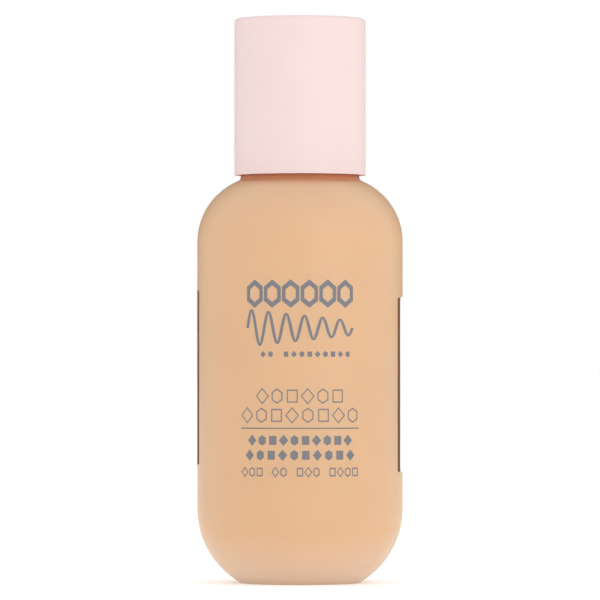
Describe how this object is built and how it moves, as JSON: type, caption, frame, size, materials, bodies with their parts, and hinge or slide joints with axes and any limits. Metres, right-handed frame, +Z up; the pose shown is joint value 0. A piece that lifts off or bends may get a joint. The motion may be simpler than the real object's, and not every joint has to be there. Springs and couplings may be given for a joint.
{
  "type": "foundation bottle",
  "caption": "Round frosted glass foundation bottle with a treatment pump on its threaded neck, under a tall matte pull-off overcap.",
  "frame": {"origin": "centre of the base, on the surface the bottle stands on", "axes": "+Z up along the bottle's axis, -Y towards the printed front, +X to the viewer's right"},
  "size_m": [0.0362, 0.0361, 0.0986],
  "materials": {
    "frosted_glass": "acid-frosted outside",
    "foundation": "thick opaque liquid",
    "label_film": "satin coated",
    "front_ink": "one colour screen print",
    "cap_plastic": "fine matte moulding",
    "closure_plastic": "moulded",
    "shroud_metal": "satin anodised",
    "gasket_foam": "closed-cell foam",
    "pump_plastic": "natural moulded",
    "tube_plastic": "extruded, slightly clear",
    "ball_steel": "polished steel",
    "spring_steel": "drawn stainless wire",
    "seal_plastic": "soft moulded",
    "button_plastic": "satin moulded"
  },
  "bodies": {
    "bottle": {"bottle": "frosted_glass", "foundation_fill": "foundation", "back_label": "label_film"},
    "pump": {"pump_housing": "pump_plastic", "housing_retainer": "pump_plastic", "neck_gasket": "gasket_foam", "dip_tube": "tube_plastic", "ball_retainer": "pump_plastic", "return_spring": "spring_steel"},
    "closure": {"screw_closure": "closure_plastic", "collar_shroud": "shroud_metal"},
    "overcap": {"overcap": "cap_plastic"},
    "plunger": {"stem": "pump_plastic", "piston_seat": "pump_plastic"},
    "seal": {"piston": "seal_plastic"},
    "button": {"actuator_button": "button_plastic", "actuator_insert": "pump_plastic"},
    "ball": {"inlet_ball": "ball_steel"}
  },
  "joints": [
    {"name": "pump_lift", "type": "slide", "parent": "bottle", "child": "pump", "axis": [0, 0, 1], "range_m": [0, 0.003]},
    {"name": "closure_turn", "type": "hinge", "parent": "pump", "child": "closure", "pos_m": [0, 0, 0.0718], "axis": [0, 0, 1], "range_deg": [0, 360]},
    {"name": "overcap_pull", "type": "slide", "parent": "closure", "child": "overcap", "axis": [0, 0, 1], "range_m": [0, 0.036]},
    {"name": "actuator_press", "type": "slide", "parent": "pump", "child": "plunger", "axis": [0, 0, -1], "range_m": [0, 0.004], "stiffness_N_per_m": 600, "deforming": ["return_spring"]},
    {"name": "actuator_swivel", "type": "hinge", "parent": "plunger", "child": "button", "pos_m": [0, 0, 0.091], "axis": [0, 0, 1], "continuous": true},
    {"name": "piston_slip", "type": "slide", "parent": "plunger", "child": "seal", "axis": [0, 0, 1], "range_m": [0, 0.0005]},
    {"name": "ball_lift", "type": "slide", "parent": "pump", "child": "ball", "axis": [0, 0, 1], "range_m": [0, 0.001]}
  ],
  "couplings": [
    {"joint": "pump_lift", "follows": "closure_turn", "m_per_rad": 0.00047746}
  ]
}
